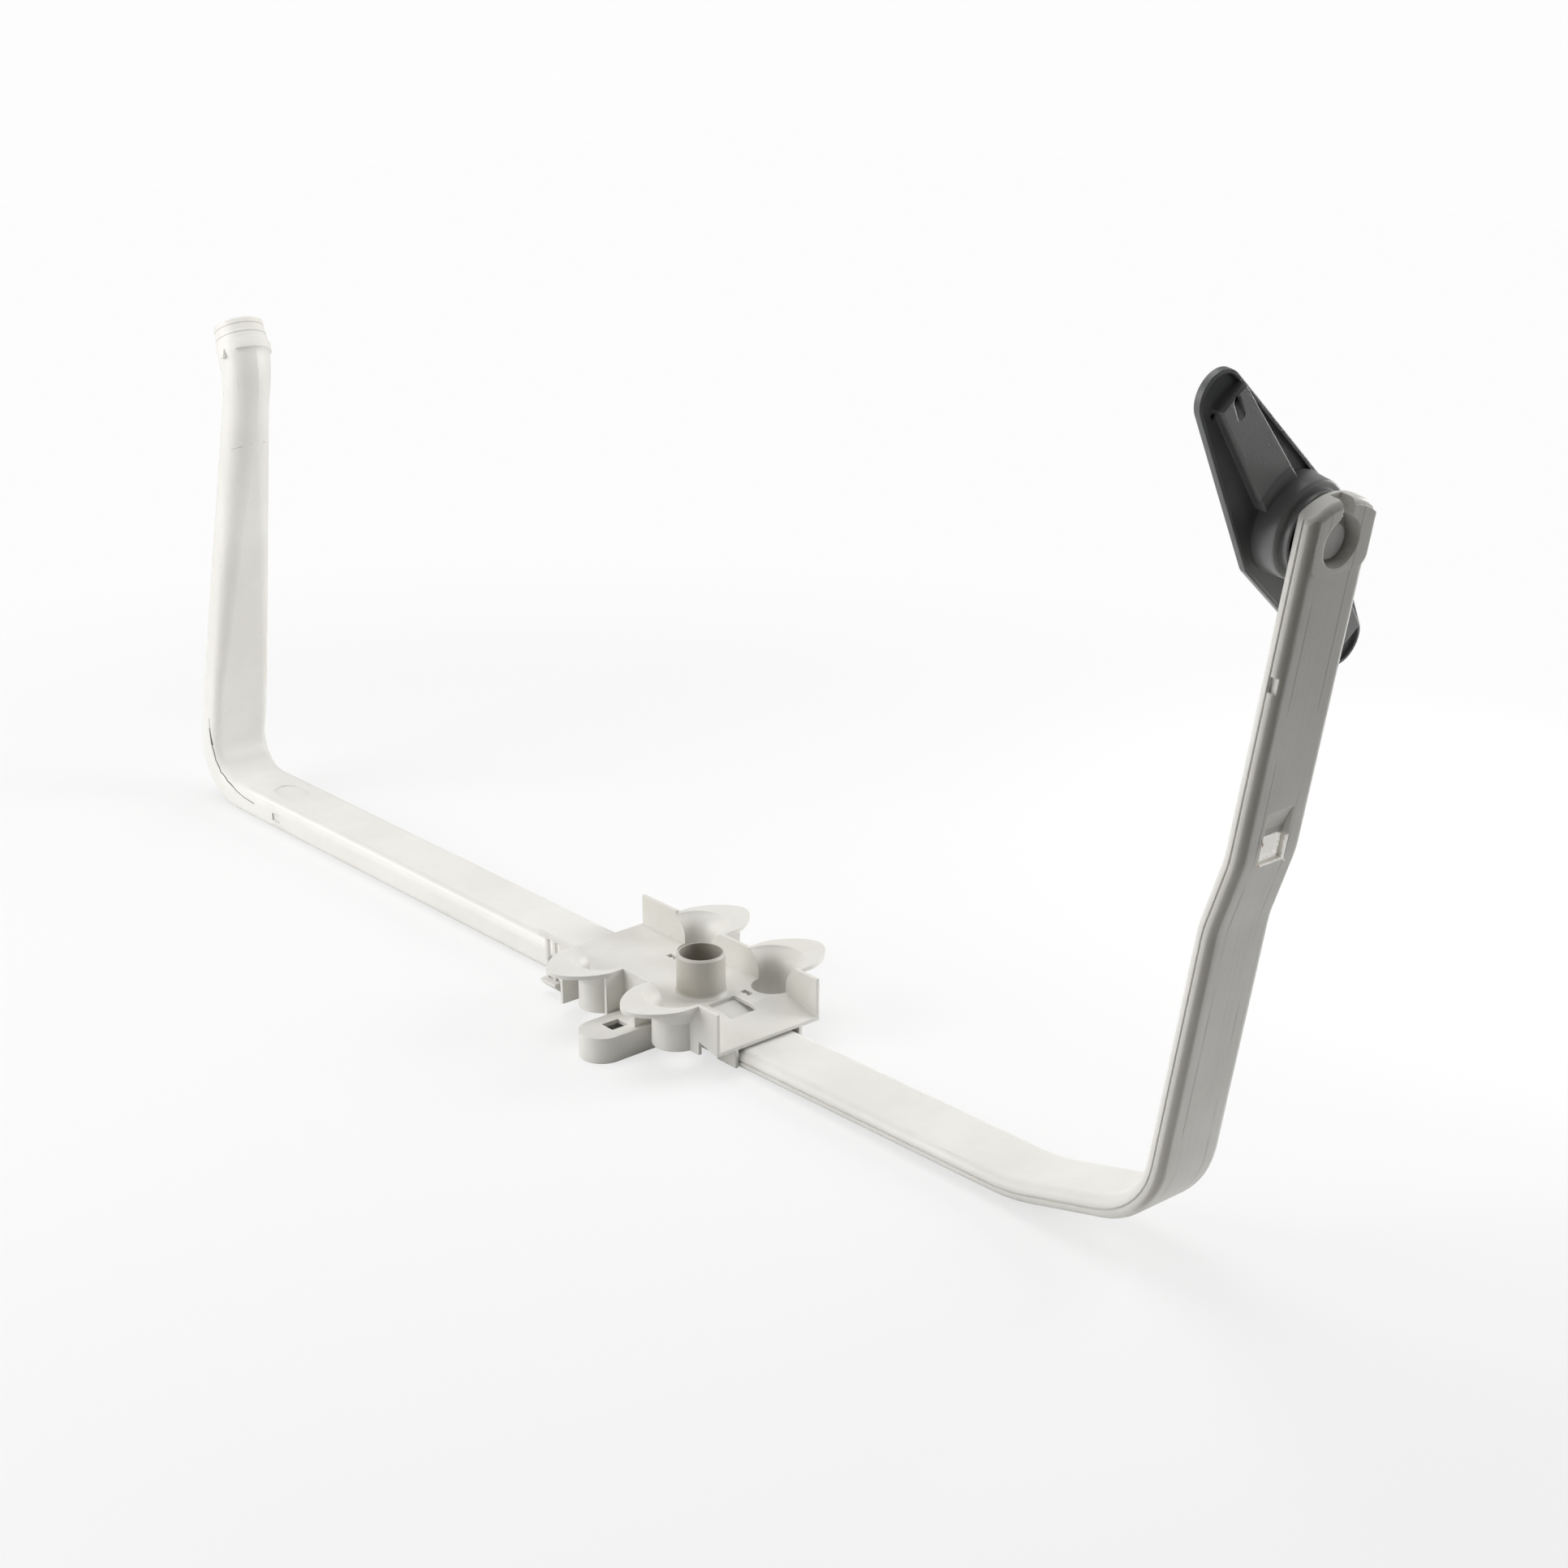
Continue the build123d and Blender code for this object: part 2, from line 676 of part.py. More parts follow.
    # Spigot with its foot ring above and its plug below the tray
    with BuildSketch(Plane.XY.offset(-tray_thick - spigot_stub)):
        Circle(spigot_dia / 2)
    extrude(amount=tray_thick + spigot_stub + spigot_height)
    chamfer(docking_bracket.edges().filter_by(GeomType.CIRCLE).group_by(Axis.Z)[-1], spigot_chamfer)
    with Locations((0, 0, 0)):
        Cone(spigot_foot_dia / 2, spigot_dia / 2, spigot_foot_height,
             align=(Align.CENTER, Align.CENTER, Align.MIN))
    with BuildSketch(Plane.XY.offset(-tray_thick - spigot_stub)):
        Circle(spigot_bore / 2)
    extrude(amount=tray_thick + spigot_stub + spigot_height, mode=Mode.SUBTRACT)
    # Window and slots in the tray floor
    with BuildSketch(Plane.XY.offset(tray_thick)):
        with Locations((window_start_x + window_length / 2, 0)):
            RectangleRounded(window_length, window_width, window_corner)
        with Locations(*[(x - tray_slot_shift, tray_slot_y) for x in (pocket_left_x, pocket_right_x)]):
            Rectangle(tray_slot_length, tray_slot_width)
    extrude(amount=-3 * tray_thick, mode=Mode.SUBTRACT)
    # Two gaps under the rail of the near upstand, which leave its posts standing
    with BuildSketch(Plane.XZ.offset(tray_half_width)):
        with Locations((tray_left_x + post_gap_first, -tray_thick)):
            Rectangle(post_second - post_gap_first, rail_bottom + tray_thick, align=(Align.MIN, Align.MIN))
        with Locations((tray_left_x + post_gap_second, 0)):
            Rectangle(post_gap_end - post_gap_second, rail_bottom, align=(Align.MIN, Align.MIN))
    extrude(amount=tray_wall, mode=Mode.SUBTRACT)
    # Lug with a rounded end, open below, and its square hole
    with BuildSketch(Plane.XY.offset(ground)):
        with Locations((lug_x, lug_y)):
            Circle(lug_dia / 2)
            Rectangle(lug_dia, -tray_outer - lug_y, align=(Align.CENTER, Align.MIN))
    extrude(amount=lug_height)
    with BuildSketch(Plane.XY.offset(ground)):
        with Locations((lug_x, lug_y)):
            Circle(lug_dia / 2 - lug_wall)
            Rectangle(lug_dia - 2 * lug_wall, -tray_outer - lug_y, align=(Align.CENTER, Align.MIN))
    extrude(amount=lug_height - lug_wall, mode=Mode.SUBTRACT)
    with BuildSketch(Plane.XY.offset(ground + lug_height)):
        with Locations((lug_x, lug_y + lug_hole_inset)):
            Rectangle(lug_hole_x, lug_hole_y)
    extrude(amount=-2 * lug_wall, mode=Mode.SUBTRACT)
    # Snap clip at the near left: rail past the tray, posts down from it, and the hook across the posts
    with BuildSketch(Plane.XZ.offset(tray_half_width)):
        with Locations((tray_left_x - rail_reach, near_upstand_height)):
            Rectangle(rail_reach + post_second, rail_height, align=(Align.MIN, Align.MAX))
        with Locations(*[(tray_left_x + start + width / 2, -clip_drop) for start, width in posts]):
            Rectangle(post_first_width, clip_drop, align=(Align.CENTER, Align.MIN))
    extrude(amount=tray_wall)
    with BuildSketch(Plane.YZ.offset(tray_left_x)):
        with BuildLine():
            Polyline(*clip_outline, close=True)
        make_face()
    extrude(amount=clip_width)
docking_bracket.part.label = "docking_bracket"
export_step(docking_bracket.part, "parts/docking_bracket.step")

# Spray arm planes: local x along the wing, local z away from the tube
turn = math.radians(spray_turn)
wing_direction = right_arm * math.cos(turn) - Vector(0, 1, 0) * math.sin(turn)
spray_plane = Plane(origin=inner_point, x_dir=wing_direction, z_dir=-right_face)
spray_axis = Axis(inner_point, -right_face)
bell_side_plane = Plane(origin=inner_point, x_dir=wing_direction, z_dir=wing_direction.cross(-right_face))
floor_level = rim_offset + rim_height
weld_level = floor_level + plate_thick
base_level = weld_level + base_depth
bell_foot = floor_level + plate_thick / 2
rim_plane = spray_plane.offset(rim_offset)
floor_plane = spray_plane.offset(floor_level)
weld_plane = spray_plane.offset(weld_level)
wing_ends = [(wing_long - wing_tip_radius, wing_side), (wing_tip_radius - wing_far, wing_side)]
corner_reach = wing_half_width - wing_corner
wing_corners = [(0, wing_side + corner_reach), (0, wing_side - corner_reach)]
channel_far = channel_end + wing_far - wing_long
# Slanted floor of the slot nozzle, from the channel's top down towards the wing's tip
nozzle_across = math.radians(nozzle_turn)
nozzle_dip = math.radians(nozzle_slope)
nozzle_run = wing_direction * math.cos(nozzle_across) + spray_plane.y_dir * math.sin(nozzle_across)
nozzle_foot = inner_point - right_face * (floor_level - channel_height)
nozzle_foot = nozzle_foot + wing_direction * nozzle_start + spray_plane.y_dir * nozzle_side
nozzle_plane = Plane(
    origin=nozzle_foot,
    x_dir=nozzle_run * math.cos(nozzle_dip) - right_face * math.sin(nozzle_dip),
    z_dir=right_face * math.cos(nozzle_dip) + nozzle_run * math.sin(nozzle_dip),
)


def channel_outline(inset_by):
    """Water channel seen from the tube, drawn in by the given wall."""
    wide = channel_half_width - inset_by
    narrow = channel_tip_half - inset_by
    near_end = channel_end - inset_by
    far_end = channel_far - inset_by
    return [
        (near_end, channel_side + narrow),
        (0, channel_side + wide),
        (-far_end, narrow - channel_side),
        (-far_end, -narrow - channel_side),
        (0, channel_side - wide),
        (near_end, channel_side - narrow),
    ]


# Spray arm, shell that faces the tube
with BuildPart() as spray_arm_top:
    with BuildSketch(rim_plane):
        with Locations(*wing_ends):
            Circle(wing_tip_radius)
        with Locations(*wing_corners):
            Circle(wing_corner)
        make_hull()
    extrude(amount=rim_height + plate_thick)
    with BuildSketch(rim_plane):
        with Locations(*wing_ends):
            Circle(wing_tip_radius - rim_thick)
        with Locations(*wing_corners):
            Circle(wing_corner - rim_thick)
        make_hull()
    extrude(amount=rim_height, mode=Mode.SUBTRACT)
    with BuildSketch(floor_plane):
        with BuildLine():
            Polyline(*channel_outline(0), close=True)
        make_face()
    extrude(amount=-channel_height, taper=channel_taper_angle)
    # Bell over the outlet: a drum with a rounded shoulder and a collar that meets the tube
    with BuildSketch(bell_side_plane):
        with BuildLine():
            foot = Line((0, bell_foot), (bell_dia / 2, bell_foot))
            drum = Line(foot @ 1, (bell_top_dia / 2, bell_shoulder + bell_round))
            shoulder = Bezier(
                drum @ 1,
                (bell_top_dia / 2, bell_shoulder),
                (bell_top_dia / 2 - bell_round, bell_shoulder),
            )
            ledge = Line(shoulder @ 1, (bell_collar_dia / 2, bell_shoulder))
            collar = Line(ledge @ 1, (bell_collar_dia / 2, bell_gap))
            crown = Line(collar @ 1, (0, bell_gap))
            Line(crown @ 1, foot @ 0)
        make_face()
    revolve(axis=spray_axis)
    with BuildSketch(bell_side_plane):
        with BuildLine():
            Polyline(
                (0, weld_level),
                (bell_dia / 2 - shell_wall, weld_level),
                (bell_top_dia / 2 - shell_wall, bell_shoulder + shell_wall),
                (bell_collar_dia / 2 - bell_collar_wall, bell_shoulder + shell_wall),
                (bell_collar_dia / 2 - bell_collar_wall, bell_gap),
                (0, bell_gap),
                close=True,
            )
        make_face()
    revolve(axis=spray_axis, mode=Mode.SUBTRACT)
    with BuildSketch(weld_plane):
        with BuildLine():
            Polyline(*channel_outline(shell_wall), close=True)
        make_face()
    extrude(amount=shell_wall - plate_thick - channel_height, taper=channel_taper_angle, mode=Mode.SUBTRACT)
    # Slot nozzle on the channel and the small vent in the plate
    with BuildSketch(nozzle_plane):
        with Locations((nozzle_length / 2, 0)):
            SlotOverall(nozzle_length, nozzle_width)
    extrude(amount=2 * channel_height, mode=Mode.SUBTRACT)
    with BuildSketch(floor_plane):
        with Locations((vent_place, vent_side)):
            Circle(vent_dia / 2)
    extrude(amount=plate_thick, mode=Mode.SUBTRACT)
spray_arm_top.part.label = "spray_arm_top"
export_step(spray_arm_top.part, "parts/spray_arm_top.step")

# Spray arm, welded base with the jets and the bearing boss
with BuildPart() as spray_arm_base:
    with BuildSketch(weld_plane):
        with Locations(*wing_ends):
            Circle(wing_tip_radius - base_inset)
        with Locations(*wing_corners):
            Circle(wing_corner - base_inset)
        make_hull()
    extrude(amount=base_plate)
    with BuildSketch(weld_plane.offset(base_plate)):
        with BuildLine():
            Polyline(*channel_outline(base_channel_inset), close=True)
        make_face()
        Circle(bell_dia / 2)
    extrude(amount=base_depth - base_plate, taper=channel_taper_angle)
    with BuildSketch(weld_plane):
        with BuildLine():
            Polyline(*channel_outline(base_channel_inset + shell_wall), close=True)
        make_face()
        Circle(bell_dia / 2 - shell_wall)
    extrude(amount=base_depth - base_floor, taper=channel_taper_angle, mode=Mode.SUBTRACT)
    with BuildSketch(spray_plane.offset(boss_gap)):
        Circle(hub_boss_dia / 2)
    extrude(amount=base_level - boss_gap)
    with BuildSketch(spray_plane.offset(boss_gap)):
        Circle(axle_dia / 2 + axle_fit)
    extrude(amount=base_level - boss_gap, mode=Mode.SUBTRACT)
    with BuildSketch(spray_plane.offset(base_level)):
        with Locations(*[(jet_first + jet_pitch * i, 0) for i in range(3)]):
            Circle(jet_dia / 2)
        with Locations(*[(-jet_first - jet_pitch * i - jet_pitch / 2, 0) for i in range(3)]):
            Circle(jet_dia / 2)
    extrude(amount=-2 * base_floor, mode=Mode.SUBTRACT)
spray_arm_base.part.label = "spray_arm_base"
export_step(spray_arm_base.part, "parts/spray_arm_base.step")

# Axle: head in the keyhole pocket, shank through the boss, cap below the spray arm
head_level = axle_head_sink - right_thick
seat_level = pocket_depth - right_thick
cap_level = base_level + axle_play
with BuildPart() as hub_axle:
    with BuildSketch(spray_plane.offset(head_level)):
        Circle(axle_head_dia / 2)
    extrude(amount=seat_level - head_level)
    with BuildSketch(spray_plane.offset(seat_level)):
        Circle(axle_dia / 2)
    extrude(amount=cap_level - seat_level)
    with BuildSketch(spray_plane.offset(cap_level)):
        Circle(axle_cap_dia / 2)
    extrude(amount=axle_cap_thick)
    fillet(hub_axle.edges().filter_by(GeomType.CIRCLE).group_by(Axis.X)[0], axle_cap_round)
hub_axle.part.label = "hub_axle"
export_step(hub_axle.part, "parts/hub_axle.step")
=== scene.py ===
"""Looks of a dishwasher feed tube: moulded tube, docking bracket and top spray arm."""
import json
import math
import random

import bmesh
import bpy
from mathutils import Matrix, Vector


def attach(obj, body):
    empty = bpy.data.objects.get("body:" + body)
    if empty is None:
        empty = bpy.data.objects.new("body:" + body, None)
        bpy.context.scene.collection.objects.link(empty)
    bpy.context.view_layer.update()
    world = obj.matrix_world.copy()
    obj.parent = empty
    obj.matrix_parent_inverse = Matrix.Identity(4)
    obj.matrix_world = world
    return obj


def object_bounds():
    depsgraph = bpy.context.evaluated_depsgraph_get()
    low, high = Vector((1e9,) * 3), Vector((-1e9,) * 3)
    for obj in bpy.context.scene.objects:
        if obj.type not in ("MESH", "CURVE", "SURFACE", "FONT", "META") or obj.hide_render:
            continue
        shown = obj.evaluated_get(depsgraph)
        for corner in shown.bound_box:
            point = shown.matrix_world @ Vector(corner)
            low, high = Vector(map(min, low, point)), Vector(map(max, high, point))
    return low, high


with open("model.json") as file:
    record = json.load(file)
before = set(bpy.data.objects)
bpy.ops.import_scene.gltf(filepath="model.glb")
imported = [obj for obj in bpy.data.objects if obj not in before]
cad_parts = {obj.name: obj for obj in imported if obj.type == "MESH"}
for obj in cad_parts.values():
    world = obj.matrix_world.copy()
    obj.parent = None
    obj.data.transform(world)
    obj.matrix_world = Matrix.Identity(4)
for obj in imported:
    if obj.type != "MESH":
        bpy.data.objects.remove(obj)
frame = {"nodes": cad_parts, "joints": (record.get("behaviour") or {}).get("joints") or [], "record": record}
cad_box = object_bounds()
nodes = frame["nodes"]

# Feed tube. One blow-moulded length of pale grey-white polypropylene, satin from the mould, with a parting
# seam along both narrow sides. It has lain about: the seam has split at the inlet bend, and the flat faces
# carry hairline scores, a few specks and a faint cloudiness.
mm = 0.001


def put(tree, socket, value):
    """Links a socket to the input, or sets the input to a plain value."""
    if isinstance(value, bpy.types.NodeSocket):
        tree.links.new(value, socket)
    else:
        socket.default_value = value


def calc(tree, operation, *values):
    """Result of a math node."""
    made = tree.nodes.new("ShaderNodeMath")
    made.operation = operation
    for socket, value in zip(made.inputs, values):
        put(tree, socket, value)
    return made.outputs[0]


def product(tree, first, *others):
    """All the values multiplied together."""
    for other in others:
        first = calc(tree, "MULTIPLY", first, other)
    return first


def vector_calc(tree, operation, *values):
    """Result of a vector math node: a number for a dot product or a length, otherwise a vector."""
    made = tree.nodes.new("ShaderNodeVectorMath")
    made.operation = operation
    for socket, value in zip(made.inputs[:2], values):
        put(tree, socket, value)
    return made.outputs["Value" if operation in ("DOT_PRODUCT", "LENGTH", "DISTANCE") else "Vector"]


def scaled(tree, vector, factor):
    """A vector times a number."""
    made = tree.nodes.new("ShaderNodeVectorMath")
    made.operation = "SCALE"
    put(tree, made.inputs[0], vector)
    put(tree, made.inputs["Scale"], factor)
    return made.outputs["Vector"]


def stretched(tree, vector, scale, turn=(0, 0, 0)):
    """A vector turned and then stretched, for streaks."""
    made = tree.nodes.new("ShaderNodeMapping")
    put(tree, made.inputs["Vector"], vector)
    made.inputs["Rotation"].default_value = turn
    made.inputs["Scale"].default_value = scale
    return made.outputs["Vector"]


def axes_of(tree, place):
    """The place's X, Y and Z, as three numbers."""
    made = tree.nodes.new("ShaderNodeSeparateXYZ")
    tree.links.new(place, made.inputs[0])
    return tuple(made.outputs)


def fade(tree, value, start, end):
    """0 at the start value and 1 at the end value, smooth between them."""
    made = tree.nodes.new("ShaderNodeMapRange")
    made.interpolation_type = "SMOOTHSTEP"
    put(tree, made.inputs["Value"], value)
    made.inputs["From Min"].default_value = min(start, end)
    made.inputs["From Max"].default_value = max(start, end)
    made.inputs["To Min"].default_value = 0 if start < end else 1
    made.inputs["To Max"].default_value = 1 if start < end else 0
    return made.outputs["Result"]


def band(tree, value, middle, faint, full):
    """1 where the value is within the full distance of the middle, and 0 beyond the faint distance."""
    return fade(tree, calc(tree, "ABSOLUTE", calc(tree, "SUBTRACT", value, middle)), faint, full)


def facing(tree, direction, start, end):
    """Mask of the faces that look in the direction."""
    normal = tree.nodes.new("ShaderNodeNewGeometry").outputs["Normal"]
    return fade(tree, vector_calc(tree, "DOT_PRODUCT", normal, direction), start, end)


def tint(tree, factor, under, over):
    """Colour under, with colour over laid on it by the factor."""
    made = tree.nodes.new("ShaderNodeMix")
    made.data_type = "RGBA"
    put(tree, made.inputs[0], factor)
    put(tree, made.inputs[6], under)
    put(tree, made.inputs[7], over)
    return made.outputs[2]


def laid(tree, under, over, *masks, strength):
    """Colour under, with colour over laid on it at part strength where all the masks are."""
    return tint(tree, product(tree, *masks, strength), under, over)


def noise(tree, vector, scale, detail=2.0, roughness=0.5):
    """Value of a noise texture."""
    made = tree.nodes.new("ShaderNodeTexNoise")
    put(tree, made.inputs["Vector"], vector)
    put(tree, made.inputs["Scale"], scale)
    made.inputs["Detail"].default_value = detail
    made.inputs["Roughness"].default_value = roughness
    return made.outputs["Fac"]


def distance_to_line(tree, place, points):
    """Distance in metres from the place to a line through the points, given in millimetres."""
    nearest = None
    for first, last in zip(points, points[1:]):
        start = Vector(first) * mm
        run = Vector(last) * mm - start
        offset = vector_calc(tree, "SUBTRACT", place, start)
        share = calc(tree, "DIVIDE", vector_calc(tree, "DOT_PRODUCT", offset, run), run.length_squared)
        share = calc(tree, "MINIMUM", calc(tree, "MAXIMUM", share, 0.0), 1.0)
        gap = vector_calc(tree, "DISTANCE", offset, scaled(tree, run, share))
        nearest = gap if nearest is None else calc(tree, "MINIMUM", nearest, gap)
    return nearest


def moulded_skin():
    """Group shared by the plastics: cloudy tone, fine mould grain, specks and hairline scores."""
    cloud_gate = (0.32, 0.68)
    speck_cells_per_metre = 210
    speck_size = (0.07, 0.04)
    speck_patches = (0.6, 0.66)
    score_stretch_and_turn = [((30, 900, 700), (0.2, 0.3, 0.1)), ((700, 30, 24), (0.1, 0.17, 1.1))]
    score_gate = (0.7, 0.78)
    score_patches = (0.5, 0.62)
    tree = bpy.data.node_groups.new("moulded_skin", "ShaderNodeTree")
    tree.interface.new_socket("Place", in_out="INPUT", socket_type="NodeSocketVector")
    tree.interface.new_socket("Cloud Scale", in_out="INPUT", socket_type="NodeSocketFloat")
    tree.interface.new_socket("Grain Scale", in_out="INPUT", socket_type="NodeSocketFloat")
    for name in ("Cloud", "Grain", "Specks", "Scores"):
        tree.interface.new_socket(name, in_out="OUTPUT", socket_type="NodeSocketFloat")
    start = tree.nodes.new("NodeGroupInput")
    end = tree.nodes.new("NodeGroupOutput")
    place = start.outputs["Place"]
    cloud = noise(tree, place, start.outputs["Cloud Scale"], detail=5.0, roughness=0.6)
    tree.links.new(fade(tree, cloud, *cloud_gate), end.inputs["Cloud"])
    grain = noise(tree, place, start.outputs["Grain Scale"], detail=3.0, roughness=0.6)
    tree.links.new(grain, end.inputs["Grain"])
    cells = tree.nodes.new("ShaderNodeTexVoronoi")
    cells.inputs["Scale"].default_value = speck_cells_per_metre
    tree.links.new(place, cells.inputs["Vector"])
    dots = fade(tree, cells.outputs["Distance"], *speck_size)
    few = fade(tree, noise(tree, place, scale=70.0, detail=1.0), *speck_patches)
    tree.links.new(product(tree, dots, few), end.inputs["Specks"])
    scores = [
        fade(tree, noise(tree, stretched(tree, place, stretch, turn), scale=1.0, detail=1.0), *score_gate)
        for stretch, turn in score_stretch_and_turn
    ]
    here_and_there = fade(tree, noise(tree, place, scale=26.0), *score_patches)
    tree.links.new(product(tree, calc(tree, "MAXIMUM", *scores), here_and_there), end.inputs["Scores"])
    return tree


skin_group = moulded_skin()


def skin(tree, cloud_scale, grain_scale):
    """A piece's own coordinates, and the outputs of the moulded skin group on them."""
    place = tree.nodes.new("ShaderNodeTexCoord").outputs["Object"]
    made = tree.nodes.new("ShaderNodeGroup")
    made.node_tree = skin_group
    tree.links.new(place, made.inputs["Place"])
    made.inputs["Cloud Scale"].default_value = cloud_scale
    made.inputs["Grain Scale"].default_value = grain_scale
    return place, made.outputs


def between(tree, share, least, most):
    """The value that lies the given share of the way from least to most."""
    return calc(tree, "ADD", calc(tree, "MULTIPLY", share, most - least), least)


def soft_edges(tree, radius):
    """Normal over edges rounded to the radius."""
    made = tree.nodes.new("ShaderNodeBevel")
    made.samples = 6
    made.inputs["Radius"].default_value = radius
    return made.outputs["Normal"]


def finish_plastic(tree, colour, roughness, height, depth, edge_normal):
    """Principled shader of a moulded plastic, with its bump over softened edges."""
    shader = tree.nodes["Principled BSDF"]
    put(tree, shader.inputs["Base Color"], colour)
    put(tree, shader.inputs["Roughness"], roughness)
    bump = tree.nodes.new("ShaderNodeBump")
    bump.inputs["Strength"].default_value = 1.0
    bump.inputs["Distance"].default_value = depth
    put(tree, bump.inputs["Height"], height)
    put(tree, bump.inputs["Normal"], edge_normal)
    tree.links.new(bump.outputs["Normal"], shader.inputs["Normal"])
    return shader


def new_material(name):
    """A material made of nodes, and its node tree."""
    made = bpy.data.materials.new(name)
    made.use_nodes = True
    return made, made.node_tree


def dress(node, material):
    """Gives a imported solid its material."""
    nodes[node].data.materials.clear()
    nodes[node].data.materials.append(material)


tube_white = (0.80, 0.79, 0.755, 1)
tube_cloud = (0.735, 0.722, 0.68, 1)
# Colour of the stains, specks, scores and lines, and of the painted shade in the grey band and beside the
# seam
tube_stain_and_shade = (0.36, 0.33, 0.28, 1)
tube_roughness = (0.36, 0.46)
tube_edge_round = 0.4 * mm
tube_grain_depth = 0.05 * mm
tube_score_depth = 0.8
tube_light_share = 0.3
tube_light_colours = (1.0, 0.9, 0.75)
tube_light_depth = 2.0 * mm
tube_plastic, tree = new_material("tube_plastic")
place, tube_skin = skin(tree, cloud_scale=16.0, grain_scale=2600.0)
along, across, up = axes_of(tree, place)
colour = tint(tree, tube_skin["Cloud"], tube_white, tube_cloud)
colour = laid(tree, colour, tube_stain_and_shade, tube_skin["Specks"], strength=0.5)
colour = laid(tree, colour, tube_stain_and_shade, tube_skin["Scores"], strength=0.16)

# Streaks and two broken lines down the outer face of the leaning arm, and painted shade on the corner beside
# its seam
spray_spin = frame["joints"][0]
arm_out = Vector(spray_spin["axis"])
arm_up = Vector((-arm_out.z, 0, arm_out.x))
arm_facing = (0.85, 0.97)
arm_start = (200 * mm, 260 * mm)
streak_tone = (0.56, 0.545, 0.51, 1)
streak_stretch = (14, 900, 14)
streak_gate = (0.42, 0.72)
line_sides = (-7.8 * mm, 7.0 * mm)
line_width = (0.4 * mm, 0.1 * mm)
line_breaks = (0.40, 0.60)
seam_out = Vector((0.74, -0.66, -0.13))
seam_facing = (0.86, 0.97)
seam_start = (180 * mm, 240 * mm)
outer_arm = product(tree, facing(tree, arm_out, *arm_facing), fade(tree, along, *arm_start))
streaks = fade(tree, noise(tree, stretched(tree, place, streak_stretch), scale=1.0, detail=3.0), *streak_gate)
colour = laid(tree, colour, streak_tone, streaks, outer_arm, strength=0.2)
for line_side in line_sides:
    line = band(tree, across, line_side, *line_width)
    broken = fade(tree, noise(tree, place, scale=36.0), *line_breaks)
    colour = laid(tree, colour, tube_stain_and_shade, line, outer_arm, broken, strength=0.6)
# Painted shade: the rounded corner beside the seam, which faces the dim side, is darkened
shade_beside_seam = product(tree, facing(tree, seam_out, *seam_facing), fade(tree, along, *seam_start))
colour = laid(tree, colour, tube_stain_and_shade, shade_beside_seam, strength=0.55)

# Fine ring lines round the neck, and a scratch and two nicks on the arm below it, in millimetres
inlet_neck = next(mount for mount in frame["record"]["mounts"] if mount["name"] == "inlet_neck")
neck_start = (-290 * mm, -300 * mm)
neck_rise = (180 * mm, 190 * mm)
ring_places = (0.4 * mm, -3.8 * mm)
ring_width = (0.35 * mm, 0.1 * mm)
scratch_points = [(-319.6, -9.7, 161.6), (-316.1, -7.0, 162.9), (-314.0, -2.3, 164.3)]
scratch_width = (0.4 * mm, 0.1 * mm)
nick_points = [(-314.7, 4.3, 163.7), (-322.7, -9.9, 186.7)]
nick_size = (0.7 * mm, 0.3 * mm)
from_neck = vector_calc(tree, "SUBTRACT", place, Vector(inlet_neck["pos_m"]))
along_neck = vector_calc(tree, "DOT_PRODUCT", from_neck, Vector(inlet_neck["axis"]))
on_neck = product(tree, fade(tree, along, *neck_start), fade(tree, up, *neck_rise))
for ring_place in ring_places:
    ring = band(tree, along_neck, ring_place, *ring_width)
    colour = laid(tree, colour, tube_stain_and_shade, ring, on_neck, strength=0.6)
scratch = fade(tree, distance_to_line(tree, place, scratch_points), *scratch_width)
colour = laid(tree, colour, tube_stain_and_shade, scratch, strength=0.5)
for nick_point in nick_points:
    from_nick = vector_calc(tree, "DISTANCE", place, Vector(nick_point) * mm)
    colour = laid(tree, colour, tube_stain_and_shade, fade(tree, from_nick, *nick_size), strength=0.7)

# A pale painted highlight along the rounded near edge of the run, with a grey band of painted shade beside
# it, from the bracket to the inlet bend
ridge_highlight_tone = (0.90, 0.89, 0.86, 1)
ridge_side = -13.5 * mm
ridge_width = (0.6 * mm, 0.2 * mm)
ridge_rise = (-7.5 * mm, -6.5 * mm)
hollow_side = -11.7 * mm
hollow_width = (1.2 * mm, 0.4 * mm)
bracket_end = (-66 * mm, -70 * mm)
bend_end = (-330 * mm, -310 * mm)
left_run = product(tree, fade(tree, along, *bracket_end), fade(tree, along, *bend_end))
# Painted shade in a grey band beside the edge
hollow_shade = band(tree, across, hollow_side, *hollow_width)
colour = laid(tree, colour, tube_stain_and_shade, hollow_shade, left_run, strength=0.13)
# Painted highlight along the rounded near edge
ridge_highlight = band(tree, across, ridge_side, *ridge_width)
colour = laid(tree, colour, ridge_highlight_tone, ridge_highlight, left_run, fade(tree, up, *ridge_rise), strength=0.6)

